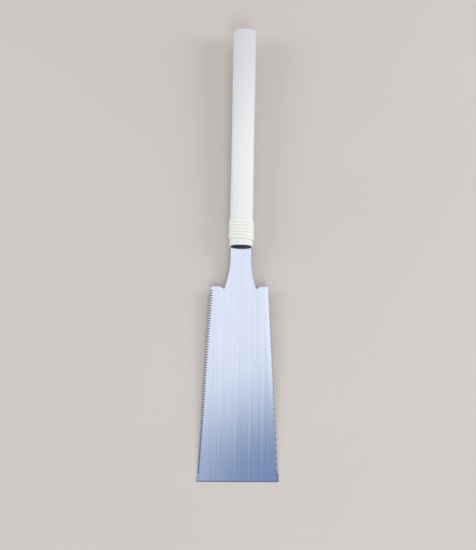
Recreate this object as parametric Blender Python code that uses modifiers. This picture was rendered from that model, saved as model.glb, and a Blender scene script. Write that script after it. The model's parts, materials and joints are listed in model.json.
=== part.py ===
"""Double-edged pull saw: a thin toothed blade that slides into an oval wooden handle.

Metres, +Z up. The saw is modelled in its own frame and then laid down:
  X  to the right, seen on the front face with the toe towards the viewer
  Y  along the saw, 0 at the toe, growing towards the butt of the handle
  Z  out of the front face, 0 on the mid plane of the blade
It lies front face up the way it comes to rest on a table, on the toe edge and on
the binding, with the butt slightly raised. The origin is under the middle of its box.
"""

import math

import bmesh
import bpy
from mathutils import Matrix, Vector

MM = 0.001

# Main lengths along the saw
TOTAL_LENGTH = 598.5 * MM
SHOULDER_Y = 243.4 * MM
NOTCH_Y = 240.5 * MM
MOUTH_Y = 295.6 * MM

# Blade sheet
BLADE_THICKNESS = 0.6 * MM
TOE_LEFT = 48.6 * MM
TOE_RIGHT = 50.5 * MM
HEEL_LEFT = 37.7 * MM
HEEL_RIGHT = 36.2 * MM
PLATE_SKEW = math.tan(math.radians(0.75))
SHOULDER_CORNER = 3.4 * MM
NECK_HALF = 13.05 * MM
NECK_STRAIGHT_Y = 279.0 * MM
NOTCH_X = 20.8 * MM

# Crosscut teeth, left edge, even pitch
CROSS_PITCH = 1.649 * MM
CROSS_DEPTH = 2.7 * MM
CROSS_FIRST_Y = 9.5 * MM
CROSS_LAST_Y = 240.2 * MM
CROSS_TIP_AT = 0.80
CROSS_TIP_FLAT = 0.06

# Rip teeth, right edge, pitch growing towards the toe
RIP_PITCH_TOE = 3.95 * MM
RIP_PITCH_DROP = 0.0052
RIP_DEPTH = 0.46
RIP_FIRST_Y = 10.8 * MM
RIP_LAST_Y = 221.5 * MM
RIP_TIP_AT = 0.86

# Tang inside the handle
NECK_INSIDE = 5.0 * MM
TANG_HALF = 7.5 * MM
TANG_END = 68.0 * MM
TANG_CORNER = 2.0 * MM
FORK_HALF = 2.5 * MM
FORK_DEPTH = 12.0 * MM

# Handle
HANDLE_HALF_WIDTH = 14.72 * MM
HANDLE_HALF_DEPTH = 11.3 * MM
SECTION_POWER = 2.3
SECTION_POINTS = 48
MOUTH_ROUND = 0.9 * MM
BUTT_ROUND = 2.0 * MM
SPLIT_GAP = 0.3 * MM

# Dark inserts at the mouth
INSERT_DEPTH = 5.0 * MM
INSERT_RECESS = 0.4 * MM
INSERT_RIM = 1.5 * MM

# Blade holder in the handle
GAP = 0.3 * MM
HOLDER_START = 8.6 * MM
HOLDER_END = 80.0 * MM
CHEEK_HALF = 12.3 * MM
CHEEK_THICKNESS = 1.0 * MM
CHEEK_CORNER = 2.5 * MM
BACK_ROOM = 1.7 * MM
SPACER_INNER = 7.9 * MM
SPACER_OUTER = 12.0 * MM
RIVET_X = 9.95 * MM
RIVET_Y = (17.0 * MM, 70.0 * MM)
RIVET_RADIUS = 0.9 * MM
RIVET_HEAD_RADIUS = 1.7 * MM
RIVET_HEAD = 0.6 * MM
PIN_RADIUS = 2.1 * MM
PIN_HEAD_RADIUS = 3.0 * MM
SPRING_HALF_WIDTH = 3.6 * MM
SPRING_THICKNESS = 0.45 * MM
SPRING_START = 12.0 * MM
SPRING_LENGTH = 38.0 * MM
SPRING_RIVET_Y = 16.0 * MM

# Binding strip
BIND_START = 304.15 * MM
BIND_TURNS = 6
BIND_PITCH = 4.3 * MM
BIND_WIDTH = 4.0 * MM
BIND_LEAN = 0.5 * MM
BIND_THICKNESS = 1.1 * MM
BIND_STEPS = 36

HALF_T = BLADE_THICKNESS / 2


# ---------------------------------------------------------------- scene helpers

for old in list(bpy.data.objects):
    bpy.data.objects.remove(old, do_unlink=True)

parts = bpy.data.collections.new("ryoba_saw")
cutters = bpy.data.collections.new("ryoba_saw_cutters")
bpy.context.scene.collection.children.link(parts)
bpy.context.scene.collection.children.link(cutters)


def empty(name, location, parent=None):
    obj = bpy.data.objects.new(name, None)
    obj.empty_display_size = 20 * MM
    obj.location = location
    obj.parent = parent
    parts.objects.link(obj)
    return obj


saw = empty("saw_rest", (0, 0, 0))
grip = empty("handle_slide", (0, MOUTH_Y, 0), saw)


def material(name, colour, roughness, metallic):
    mat = bpy.data.materials.new(name)
    mat.use_nodes = True
    shader = mat.node_tree.nodes["Principled BSDF"]
    shader.inputs["Base Color"].default_value = (*colour, 1.0)
    shader.inputs["Roughness"].default_value = roughness
    shader.inputs["Metallic"].default_value = metallic
    mat.diffuse_color = (*colour, 1.0)
    return mat


def place(obj, body, mat, smooth_angle=35):
    """Hangs a piece under its body's empty, still standing where the saw frame puts it."""
    parts.objects.link(obj)
    if body is grip:
        obj.location.y -= MOUTH_Y
    obj.parent = body
    obj.data.materials.clear()
    obj.data.materials.append(mat)
    if obj.type == "MESH":
        obj.data.shade_smooth()
        obj.data.set_sharp_from_angle(angle=math.radians(smooth_angle))
    return obj


def as_cutter(obj):
    cutters.objects.link(obj)
    obj.hide_render = True
    obj.display_type = "WIRE"
    return obj


def outline_curve(name, loops, half_thickness):
    """A flat 2D outline in local XY, thickened both ways along local Z."""
    data = bpy.data.curves.new(name, "CURVE")
    data.dimensions = "2D"
    data.fill_mode = "BOTH"
    data.extrude = half_thickness
    for loop in loops:
        spline = data.splines.new("POLY")
        spline.points.add(len(loop) - 1)
        for point, (x, y) in zip(spline.points, loop):
            point.co = (x, y, 0, 1)
        spline.use_cyclic_u = True
    return bpy.data.objects.new(name, data)


def to_mesh(curve_obj, name):
    """The curve's solid as a mesh object, with its caps welded on."""
    bpy.context.scene.collection.objects.link(curve_obj)
    bpy.context.view_layer.update()
    graph = bpy.context.evaluated_depsgraph_get()
    mesh = bpy.data.meshes.new_from_object(curve_obj.evaluated_get(graph))
    mesh.name = name
    bm = bmesh.new()
    bm.from_mesh(mesh)
    bmesh.ops.remove_doubles(bm, verts=bm.verts, dist=1e-6)
    bmesh.ops.recalc_face_normals(bm, faces=bm.faces)
    bm.to_mesh(mesh)
    bm.free()
    obj = bpy.data.objects.new(name, mesh)
    obj.matrix_world = curve_obj.matrix_world
    bpy.data.objects.remove(curve_obj, do_unlink=True)
    obj.name = name
    return obj


def outline(name, loops, half_thickness, location=(0, 0, 0), rotation=(0, 0, 0)):
    obj = to_mesh(outline_curve(name + "_outline", loops, half_thickness), name)
    obj.location = location
    obj.rotation_euler = rotation
    return obj


def box(name, low, high):
    mesh = bpy.data.meshes.new(name)
    bm = bmesh.new()
    size = [h - l for l, h in zip(low, high)]
    middle = [(h + l) / 2 for l, h in zip(low, high)]
    bmesh.ops.create_cube(
        bm, size=1, matrix=Matrix.Translation(middle) @ Matrix.Diagonal((*size, 1))
    )
    bm.to_mesh(mesh)
    bm.free()
    return bpy.data.objects.new(name, mesh)


def bore(name, x, y, radius, low, high, segments=24):
    mesh = bpy.data.meshes.new(name)
    bm = bmesh.new()
    bmesh.ops.create_cone(
        bm,
        cap_ends=True,
        segments=segments,
        radius1=radius,
        radius2=radius,
        depth=high - low,
        matrix=Matrix.Translation((x, y, (low + high) / 2)),
    )
    bm.to_mesh(mesh)
    bm.free()
    return bpy.data.objects.new(name, mesh)


def cut(obj, *tools):
    """Boolean difference with each tool, worked in the saw frame."""
    for tool in tools:
        as_cutter(tool)
        modifier = obj.modifiers.new("cut_" + tool.name, "BOOLEAN")
        modifier.operation = "DIFFERENCE"
        modifier.object = tool
        tool.parent = saw


def arc(cx, cy, radius, start_deg, end_deg, steps):
    return [
        (
            cx + radius * math.cos(math.radians(start_deg + (end_deg - start_deg) * i / steps)),
            cy + radius * math.sin(math.radians(start_deg + (end_deg - start_deg) * i / steps)),
        )
        for i in range(steps + 1)
    ]


def bezier(p0, p1, p2, p3, steps):
    points = []
    for i in range(1, steps + 1):
        t = i / steps
        u = 1 - t
        points.append(
            tuple(
                u**3 * a + 3 * u * u * t * b + 3 * u * t * t * c + t**3 * d
                for a, b, c, d in zip(p0, p1, p2, p3)
            )
        )
    return points


def rounded_rect(x0, y0, x1, y1, r, steps=4):
    return (
        arc(x1 - r, y0 + r, r, -90, 0, steps)
        + arc(x1 - r, y1 - r, r, 0, 90, steps)
        + arc(x0 + r, y1 - r, r, 90, 180, steps)
        + arc(x0 + r, y0 + r, r, 180, 270, steps)
    )


def superellipse(a, b, steps, start=0.0, end=2 * math.pi, closed=True):
    points = []
    for i in range(steps if closed else steps + 1):
        t = start + (end - start) * i / steps
        c, s = math.cos(t), math.sin(t)
        points.append(
            (
                a * math.copysign(abs(c) ** (2 / SECTION_POWER), c),
                b * math.copysign(abs(s) ** (2 / SECTION_POWER), s),
            )
        )
    return points


# ---------------------------------------------------------------- materials

STEEL = material("brushed_blade_steel", (0.60, 0.66, 0.76), 0.34, 1.0)
WOOD = material("pale_wood", (0.80, 0.785, 0.755), 0.62, 0.0)
WOOD_BACK = material("pale_wood_back", (0.79, 0.772, 0.74), 0.62, 0.0)
CANE = material("cane", (0.83, 0.81, 0.70), 0.38, 0.0)
DARK = material("dark_insert", (0.028, 0.026, 0.026), 0.55, 0.0)
HOLDER = material("holder_sheet", (0.46, 0.47, 0.48), 0.45, 1.0)
SPACER = material("spacer_strip", (0.40, 0.41, 0.42), 0.5, 1.0)
RIVET = material("rivet_metal", (0.62, 0.60, 0.57), 0.35, 1.0)
PIN = material("pin_steel", (0.55, 0.56, 0.58), 0.28, 1.0)
SPRING = material("spring_steel", (0.22, 0.25, 0.33), 0.3, 1.0)


# ---------------------------------------------------------------- blade

def left_edge(y):
    return -(TOE_LEFT + (HEEL_LEFT - TOE_LEFT) * y / SHOULDER_Y)


def right_edge(y):
    return TOE_RIGHT + (HEEL_RIGHT - TOE_RIGHT) * y / SHOULDER_Y


def skewed(points):
    return [(x, y + PLATE_SKEW * x) for x, y in points]


def rip_teeth():
    """From the toe up: each tooth leans towards the handle."""
    points = [(right_edge(RIP_FIRST_Y), RIP_FIRST_Y)]
    y = RIP_FIRST_Y
    while y < RIP_LAST_Y:
        pitch = RIP_PITCH_TOE - RIP_PITCH_DROP * y
        depth = RIP_DEPTH * pitch
        points.append((right_edge(y) - depth, y + 0.02 * pitch))
        points.append((right_edge(y + RIP_TIP_AT * pitch), y + RIP_TIP_AT * pitch))
        y += pitch
    points.append((right_edge(y) - RIP_DEPTH * pitch, y + 0.02 * pitch))
    return points


def cross_teeth():
    """From the heel down: tall narrow teeth that lean towards the handle."""
    count = round((CROSS_LAST_Y - CROSS_FIRST_Y) / CROSS_PITCH)
    points = []
    for i in reversed(range(count)):
        foot = CROSS_FIRST_Y + i * CROSS_PITCH
        tip = foot + CROSS_TIP_AT * CROSS_PITCH
        flat = CROSS_TIP_FLAT * CROSS_PITCH
        points.append((left_edge(tip), tip))
        points.append((left_edge(tip - flat), tip - flat))
        points.append((left_edge(foot) + CROSS_DEPTH, foot))
    # Plain edge from the last gullet to the toe, in line with the tooth tips.
    start = CROSS_FIRST_Y - 0.2 * CROSS_PITCH
    points.append((left_edge(start), start))
    return points


def shoulder(side):
    """Outer corner, flat top and the small notch beside the neck, then the neck's flare."""
    edge = HEEL_RIGHT - 0.9 * MM if side > 0 else HEEL_LEFT
    points = arc(edge - SHOULDER_CORNER, SHOULDER_Y - SHOULDER_CORNER, SHOULDER_CORNER, 0, 90, 5)
    points.append((26.4 * MM, SHOULDER_Y))
    points += bezier(
        (26.4 * MM, SHOULDER_Y), (23.9 * MM, SHOULDER_Y), (22.8 * MM, NOTCH_Y), (NOTCH_X, NOTCH_Y), 6
    )
    points += bezier(
        (NOTCH_X, NOTCH_Y), (19.9 * MM, NOTCH_Y), (19.45 * MM, NOTCH_Y + 0.9 * MM), (19.1 * MM, NOTCH_Y + 2.3 * MM), 4
    )
    return skewed([(side * x, y) for x, y in points])


def neck_and_tang():
    """Right half, from the top of the flare to the fork at the end of the tang."""
    points = bezier(
        (19.1 * MM, NOTCH_Y + 2.3 * MM),
        (16.2 * MM, NOTCH_Y + 14.3 * MM),
        (NECK_HALF, NECK_STRAIGHT_Y - 13.0 * MM),
        (NECK_HALF, NECK_STRAIGHT_Y),
        10,
    )
    step = MOUTH_Y + NECK_INSIDE
    points += arc(NECK_HALF - 1.0 * MM, step - 1.0 * MM, 1.0 * MM, 0, 90, 3)
    points += arc(TANG_HALF + 1.2 * MM, step + 1.2 * MM, 1.2 * MM, -90, -180, 3)
    end = MOUTH_Y + TANG_END
    points += arc(TANG_HALF - TANG_CORNER, end - TANG_CORNER, TANG_CORNER, 0, 90, 4)
    points.append((FORK_HALF, end))
    points += arc(0, end - FORK_DEPTH + FORK_HALF, FORK_HALF, 0, -90, 6)[:-1]
    return points


half = neck_and_tang()
fork_bottom = [(0.0, MOUTH_Y + TANG_END - FORK_DEPTH)]
blade_loop = (
    skewed([(TOE_RIGHT, 0.0)])
    + skewed(rip_teeth())
    + shoulder(1)
    + half
    + fork_bottom
    + [(-x, y) for x, y in reversed(half)]
    + list(reversed(shoulder(-1)))
    + skewed(cross_teeth())
    + skewed([(-TOE_LEFT, 0.0)])
)
blade = place(outline("blade", [blade_loop], HALF_T), saw, STEEL)


# ---------------------------------------------------------------- handle halves

def handle_width(y):
    """Half width along the handle: slightly slimmer in the middle, fuller at the butt."""
    middle = 430 * MM
    if y < middle:
        return HANDLE_HALF_WIDTH + 0.30 * MM * ((middle - y) / (middle - MOUTH_Y)) ** 2
    t = min(1.0, (y - middle) / (140 * MM))
    return HANDLE_HALF_WIDTH + 0.62 * MM * t * t * (3 - 2 * t)


def handle_blank(name):
    """The whole oval handle: an oval swept along the axis, its end rims rounded."""
    profile = outline_curve(name + "_section", [superellipse(HANDLE_HALF_WIDTH, HANDLE_HALF_DEPTH, SECTION_POINTS)], 0)
    profile.data.fill_mode = "NONE"
    bpy.context.scene.collection.objects.link(profile)
    path = bpy.data.curves.new(name + "_path", "CURVE")
    path.dimensions = "3D"
    path.twist_mode = "Z_UP"
    path.bevel_mode = "OBJECT"
    path.bevel_object = profile
    path.use_fill_caps = True
    stations = [MOUTH_Y + (TOTAL_LENGTH - MOUTH_Y) * i / 12 for i in range(13)]
    spline = path.splines.new("POLY")
    spline.points.add(len(stations) - 1)
    for point, y in zip(spline.points, stations):
        point.co = (0, y, 0, 1)
        point.radius = handle_width(y) / HANDLE_HALF_WIDTH
    obj = to_mesh(bpy.data.objects.new(name + "_path", path), name)
    bpy.data.objects.remove(profile, do_unlink=True)
    bm = bmesh.new()
    bm.from_mesh(obj.data)
    for end_y, radius in ((MOUTH_Y, MOUTH_ROUND), (TOTAL_LENGTH, BUTT_ROUND)):
        rim = [e for e in bm.edges if all(abs(v.co.y - end_y) < 1e-6 for v in e.verts) and len(e.link_faces) == 2
               and any(abs(f.normal.y) < 0.5 for f in e.link_faces)]
        bmesh.ops.bevel(bm, geom=rim, offset=radius, segments=3, profile=0.5, affect="EDGES")
    bmesh.ops.recalc_face_normals(bm, faces=bm.faces)
    bm.to_mesh(obj.data)
    bm.free()
    return obj


def insert_section(grow):
    """D section of a mouth insert, front side, grown all round by the given amount."""
    a = handle_width(MOUTH_Y) - INSERT_RIM + grow
    b = HANDLE_HALF_DEPTH * handle_width(MOUTH_Y) / HANDLE_HALF_WIDTH - INSERT_RIM + grow
    low = HALF_T + GAP - grow
    points = [(x, z) for x, z in superellipse(a, b, 24, 0.0, math.pi, closed=False) if z > low + 0.4 * MM]
    foot = a * (1 - (low / b) ** SECTION_POWER) ** (1 / SECTION_POWER)
    return [(foot, low)] + points + [(-foot, low)]


ACROSS = (math.pi / 2, 0, 0)
insert_mid = MOUTH_Y + INSERT_RECESS + INSERT_DEPTH / 2
pocket_start = MOUTH_Y + HOLDER_START - GAP
pocket_end = MOUTH_Y + HOLDER_END + GAP
pocket_half = CHEEK_HALF + GAP
front_room = HALF_T + GAP + CHEEK_THICKNESS + GAP + RIVET_HEAD + GAP
back_room = HALF_T + BACK_ROOM + CHEEK_THICKNESS + GAP + RIVET_HEAD + GAP
far = 60 * MM

for side, name, mat, room in (
    (1, "handle_front_half", WOOD, front_room),
    (-1, "handle_back_half", WOOD_BACK, back_room),
):
    wood = handle_blank(name)
    tag = "front" if side > 0 else "back"
    low, high = sorted((side * SPLIT_GAP / 2, -side * far))
    halving = box("halving_" + tag, (-far, MOUTH_Y - far, low), (far, TOTAL_LENGTH + far, high))
    low, high = sorted((-side * 2 * MM, side * room))
    pocket = box("pocket_" + tag, (-pocket_half, pocket_start, low), (pocket_half, pocket_end, high))
    low, high = sorted((-side * 2 * MM, side * (HALF_T + GAP)))
    throat = box("throat_" + tag, (-SPACER_INNER, MOUTH_Y + 2 * MM, low), (SPACER_INNER, pocket_start + 2 * MM, high))
    # Seat of the dark insert, open at the mouth and reaching past the mid plane.
    section = insert_section(GAP)
    seat_loop = [(section[0][0], -2 * MM)] + section + [(section[-1][0], -2 * MM)]
    seat_depth = INSERT_RECESS + INSERT_DEPTH + GAP
    seat = outline(
        "seat_" + tag,
        [[(x, side * z) for x, z in seat_loop]],
        (seat_depth + 3 * MM) / 2,
        (0, MOUTH_Y + (seat_depth - 3 * MM) / 2, 0),
        ACROSS,
    )
    cut(wood, halving, pocket, throat, seat)
    place(wood, grip, mat, 40)

    insert = outline(
        "mouth_insert_" + tag,
        [[(x, side * z) for x, z in insert_section(0.0)]],
        INSERT_DEPTH / 2,
        (0, insert_mid, 0),
        ACROSS,
    )
    place(insert, grip, DARK, 40)


# ---------------------------------------------------------------- blade holder

hold_low = MOUTH_Y + HOLDER_START
hold_high = MOUTH_Y + HOLDER_END
front_in = HALF_T + GAP
back_in = -(HALF_T + BACK_ROOM)
pin_y = MOUTH_Y + TANG_END - FORK_DEPTH + FORK_HALF
spring_y = MOUTH_Y + SPRING_RIVET_Y
rivet_spots = [(x, MOUTH_Y + y) for y in RIVET_Y for x in (-RIVET_X, RIVET_X)]


def circle(x, y, radius, steps=20):
    return arc(x, y, radius, 0, 360, steps)[:-1]


cheek_loop = rounded_rect(-CHEEK_HALF, hold_low, CHEEK_HALF, hold_high, CHEEK_CORNER)
cheek_holes = [circle(x, y, RIVET_RADIUS + GAP) for x, y in rivet_spots] + [circle(0, pin_y, PIN_RADIUS + GAP, 28)]
place(
    outline("holder_front_cheek", [cheek_loop] + cheek_holes, CHEEK_THICKNESS / 2, (0, 0, front_in + CHEEK_THICKNESS / 2)),
    grip,
    HOLDER,
)
place(
    outline(
        "holder_back_cheek",
        [cheek_loop] + cheek_holes + [circle(0, spring_y, RIVET_RADIUS + GAP)],
        CHEEK_THICKNESS / 2,
        (0, 0, back_in - CHEEK_THICKNESS / 2),
    ),
    grip,
    HOLDER,
)

spacer_low = back_in + GAP
spacer_high = front_in - GAP
for side, name in ((-1, "holder_left_spacer"), (1, "holder_right_spacer")):
    x0, x1 = sorted((side * SPACER_INNER, side * SPACER_OUTER))
    loops = [rounded_rect(x0, hold_low, x1, hold_high, 1.0 * MM, 3)]
    loops += [circle(x, y, RIVET_RADIUS + GAP) for x, y in rivet_spots if x * side > 0]
    place(
        outline(name, loops, (spacer_high - spacer_low) / 2, (0, 0, (spacer_low + spacer_high) / 2)),
        grip,
        SPACER,
    )


def turned(name, profile, x, y, mat, steps=24):
    """A round piece turned about its own Z axis from a half profile of (radius, height)."""
    mesh = bpy.data.meshes.new(name)
    bm = bmesh.new()
    verts = [bm.verts.new((r, 0, z)) for r, z in profile]
    for a, b in zip(verts, verts[1:]):
        bm.edges.new((a, b))
    bm.to_mesh(mesh)
    bm.free()
    obj = bpy.data.objects.new(name, mesh)
    screw = obj.modifiers.new("turn", "SCREW")
    screw.axis = "Z"
    screw.steps = steps
    screw.render_steps = steps
    screw.use_merge_vertices = True
    screw.merge_threshold = 1e-6
    screw.use_smooth_shade = True
    obj.location = (x, y, 0)
    return place(obj, grip, mat)


def rivet_profile(top, bottom, shank, head_radius, head_top, head_bottom):
    """Domed heads over both ends of a straight shank, outer side from the top down."""
    return [
        (0.0, top + head_top),
        (head_radius * 0.55, top + head_top * 0.92),
        (head_radius * 0.88, top + head_top * 0.6),
        (head_radius, top),
        (shank, top),
        (shank, bottom),
        (head_radius, bottom),
        (head_radius * 0.88, bottom - head_bottom * 0.6),
        (head_radius * 0.55, bottom - head_bottom * 0.92),
        (0.0, bottom - head_bottom),
    ]


rivet_top = front_in + CHEEK_THICKNESS + GAP
rivet_bottom = back_in - CHEEK_THICKNESS - GAP
for number, (x, y) in enumerate(rivet_spots, 1):
    turned(
        "holder_rivet_%d" % number,
        rivet_profile(rivet_top, rivet_bottom, RIVET_RADIUS, RIVET_HEAD_RADIUS, RIVET_HEAD, RIVET_HEAD),
        x,
        y,
        RIVET,
    )
turned(
    "hook_pin",
    rivet_profile(rivet_top, rivet_bottom, PIN_RADIUS, PIN_HEAD_RADIUS, RIVET_HEAD, RIVET_HEAD),
    0,
    pin_y,
    PIN,
    28,
)

# Bowed leaf spring: flat at the riveted end, its crown just under the tang.
spring_floor = back_in + GAP
spring_rise = (-HALF_T - GAP) - (spring_floor + SPRING_THICKNESS)
flat_length = 8.0 * MM


def spring_height(d):
    if d < flat_length:
        return 0.0
    return spring_rise * math.sin(math.pi * (d - flat_length) / (SPRING_LENGTH - flat_length))


runs = [0.0, flat_length] + [flat_length + (SPRING_LENGTH - flat_length) * i / 12 for i in range(1, 13)]
upper = [(d, spring_floor + SPRING_THICKNESS + spring_height(d)) for d in runs]
lower = [(d, spring_floor + spring_height(d)) for d in runs]
leaf = outline(
    "leaf_spring",
    [lower + upper[::-1]],
    SPRING_HALF_WIDTH,
    (0, MOUTH_Y + SPRING_START, 0),
    (math.pi / 2, 0, math.pi / 2),
)
cut(leaf, bore("spring_hole", 0, spring_y, RIVET_RADIUS + GAP, spring_floor - 1 * MM, spring_floor + 2 * MM))
place(leaf, grip, SPRING)

spring_head = 0.25 * MM
turned(
    "spring_rivet",
    rivet_profile(
        spring_floor + SPRING_THICKNESS + GAP, rivet_bottom, RIVET_RADIUS, RIVET_HEAD_RADIUS, spring_head, RIVET_HEAD
    ),
    0,
    spring_y,
    RIVET,
)


# ---------------------------------------------------------------- binding

def oval_point(angle, y, lift):
    """Point on the handle's oval at an angle, lifted off along the oval's own normal."""
    scale = handle_width(y) / HANDLE_HALF_WIDTH
    a, b = HANDLE_HALF_WIDTH * scale, HANDLE_HALF_DEPTH * scale
    c, s = math.cos(angle), math.sin(angle)
    x = a * math.copysign(abs(c) ** (2 / SECTION_POWER), c)
    z = b * math.copysign(abs(s) ** (2 / SECTION_POWER), s)
    nx = math.copysign(abs(x / a) ** (SECTION_POWER - 1) / a, x)
    nz = math.copysign(abs(z / b) ** (SECTION_POWER - 1) / b, z)
    size = math.hypot(nx, nz)
    return x + lift * nx / size, z + lift * nz / size


strip = outline_curve(
    "strip_section",
    [[
        (-BIND_THICKNESS / 2, -BIND_WIDTH / 2 + 0.25 * MM),
        (-BIND_THICKNESS / 2 + 0.2 * MM, -BIND_WIDTH / 2),
        (BIND_THICKNESS / 2 - 0.45 * MM, -BIND_WIDTH / 2),
        (BIND_THICKNESS / 2 - 0.1 * MM, -BIND_WIDTH / 2 + 0.7 * MM),
        (BIND_THICKNESS / 2, 0.0),
        (BIND_THICKNESS / 2 - 0.1 * MM, BIND_WIDTH / 2 - 0.7 * MM),
        (BIND_THICKNESS / 2 - 0.45 * MM, BIND_WIDTH / 2),
        (-BIND_THICKNESS / 2 + 0.2 * MM, BIND_WIDTH / 2),
        (-BIND_THICKNESS / 2, BIND_WIDTH / 2 - 0.25 * MM),
    ]],
    0,
)
strip.data.fill_mode = "NONE"
bpy.context.scene.collection.objects.link(strip)

wind = bpy.data.curves.new("binding_path", "CURVE")
wind.dimensions = "3D"
wind.twist_mode = "Z_UP"
wind.bevel_mode = "OBJECT"
wind.bevel_object = strip
wind.use_fill_caps = True
steps = round(BIND_TURNS * BIND_STEPS)
spline = wind.splines.new("POLY")
spline.points.add(steps)
for i, point in enumerate(spline.points):
    # From the middle of the back, rising one pitch a turn, the turns a little out of square.
    angle = math.radians(-90) + 2 * math.pi * i / BIND_STEPS
    y = BIND_START + BIND_PITCH * i / BIND_STEPS - BIND_LEAN * math.cos(angle)
    x, z = oval_point(angle, y, GAP + BIND_THICKNESS / 2)
    # The winding's axis is local Z here and is turned onto the saw's Y afterwards.
    point.co = (x, -z, y, 1)
binding = to_mesh(bpy.data.objects.new("binding_path", wind), "binding")
bpy.data.objects.remove(strip, do_unlink=True)
binding.rotation_euler = (-math.pi / 2, 0, 0)
place(binding, grip, CANE, 40)


# ---------------------------------------------------------------- lay the saw down

def world_points(names=None):
    bpy.context.view_layer.update()
    graph = bpy.context.evaluated_depsgraph_get()
    for obj in parts.objects:
        if obj.type == "EMPTY" or (names and obj.name not in names):
            continue
        solid = obj.evaluated_get(graph)
        mesh = solid.to_mesh()
        for vert in mesh.vertices:
            yield solid.matrix_world @ vert.co
        solid.to_mesh_clear()


toe_y, toe_z = min(((p.y, p.z) for p in world_points(("blade",))), key=lambda p: (round(p[0], 5), p[1]))
tilt = max(math.atan2(toe_z - p.z, p.y - toe_y) for p in world_points(("binding", "handle_back_half")))
saw.rotation_euler = (tilt, 0, 0)
found = list(world_points())
low = Vector([min(p[i] for p in found) for i in range(3)])
high = Vector([max(p[i] for p in found) for i in range(3)])
saw.location = (-(low.x + high.x) / 2, -(low.y + high.y) / 2, -low.z)
bpy.context.view_layer.update()
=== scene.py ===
import json
import math

import bmesh
import bpy
from mathutils import Matrix, Vector, noise
from mathutils.geometry import delaunay_2d_cdt


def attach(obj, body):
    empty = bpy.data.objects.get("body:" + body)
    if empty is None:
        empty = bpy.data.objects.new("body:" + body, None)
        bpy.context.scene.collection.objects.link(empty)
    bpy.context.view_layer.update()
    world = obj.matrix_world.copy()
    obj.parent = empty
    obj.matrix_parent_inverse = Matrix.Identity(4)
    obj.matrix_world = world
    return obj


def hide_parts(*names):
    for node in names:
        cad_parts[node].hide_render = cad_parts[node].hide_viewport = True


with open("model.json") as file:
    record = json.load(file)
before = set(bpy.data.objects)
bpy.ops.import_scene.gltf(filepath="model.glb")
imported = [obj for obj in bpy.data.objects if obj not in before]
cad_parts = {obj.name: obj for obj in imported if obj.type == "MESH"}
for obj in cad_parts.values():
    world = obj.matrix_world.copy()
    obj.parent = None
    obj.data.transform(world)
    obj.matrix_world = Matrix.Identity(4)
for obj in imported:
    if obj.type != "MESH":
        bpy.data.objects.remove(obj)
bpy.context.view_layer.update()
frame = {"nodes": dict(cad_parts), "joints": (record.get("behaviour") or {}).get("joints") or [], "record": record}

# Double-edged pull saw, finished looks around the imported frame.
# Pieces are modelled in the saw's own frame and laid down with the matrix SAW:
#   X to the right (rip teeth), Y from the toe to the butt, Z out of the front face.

MM = 0.001

# ---------------------------------------------------------------- sizes, as in the CAD part

TOTAL_LENGTH = 598.5 * MM
SHOULDER_Y = 243.4 * MM
NOTCH_Y = 240.5 * MM
MOUTH_Y = 295.6 * MM

BLADE_THICKNESS = 0.6 * MM
HALF_T = BLADE_THICKNESS / 2
TOE_LEFT = 48.6 * MM
TOE_RIGHT = 50.5 * MM
HEEL_LEFT = 37.7 * MM
HEEL_RIGHT = 36.2 * MM
PLATE_SKEW = math.tan(math.radians(0.75))
SHOULDER_CORNER = 3.4 * MM
NECK_HALF = 13.05 * MM
NECK_STRAIGHT_Y = 279.0 * MM
NOTCH_X = 20.8 * MM

CROSS_PITCH = 1.649 * MM
CROSS_DEPTH_HEEL = 4.1 * MM
CROSS_DEPTH_TOE = 2.2 * MM
CROSS_FIRST_Y = 9.5 * MM
CROSS_COUNT = 139
RIP_PITCH_TOE = 3.95 * MM
RIP_PITCH_DROP = 0.0052
RIP_DEPTH = 0.46
RIP_FILED = 0.42 * MM
RIP_FIRST_Y = 10.8 * MM
RIP_LAST_Y = 221.5 * MM

NECK_INSIDE = 5.0 * MM
TANG_HALF = 7.5 * MM
TANG_END = 68.0 * MM
TANG_CORNER = 2.0 * MM
FORK_HALF = 2.5 * MM
FORK_DEPTH = 12.0 * MM

HANDLE_HALF_WIDTH = 14.72 * MM
HANDLE_HALF_DEPTH = 11.3 * MM
SECTION_POWER = 2.3
MOUTH_ROUND = 0.9 * MM
BUTT_ROUND = 2.0 * MM
GAP = 0.3 * MM
INSERT_DEPTH = 5.0 * MM
INSERT_RECESS = 0.4 * MM
INSERT_RIM = 1.5 * MM
HOLDER_START = 8.6 * MM
HOLDER_END = 80.0 * MM
CHEEK_HALF = 12.3 * MM
CHEEK_THICKNESS = 1.0 * MM
BACK_ROOM = 1.7 * MM
SPACER_INNER = 7.9 * MM
RIVET_HEAD = 0.6 * MM

BIND_START = 304.15 * MM
BIND_TURNS = 6
BIND_PITCH = 4.3 * MM
BIND_WIDTH = 4.2 * MM
BIND_LEAN = 0.5 * MM
BIND_THICKNESS = 1.36 * MM
BIND_LIFT = 0.04 * MM
BIND_STEPS = 120

# ---------------------------------------------------------------- the saw's own frame

slide = frame["joints"][0]["axis"]
front_face = next(m for m in frame["record"]["mounts"] if m["name"] == "blade_front_face")
TURN = Matrix.Rotation(math.atan2(slide[2], slide[1]), 4, "X")
SAW = Matrix.Translation(Vector(front_face["pos_m"]) - TURN @ Vector((0, 130 * MM, HALF_T))) @ TURN
scene = bpy.context.scene


# ---------------------------------------------------------------- material helpers

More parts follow.
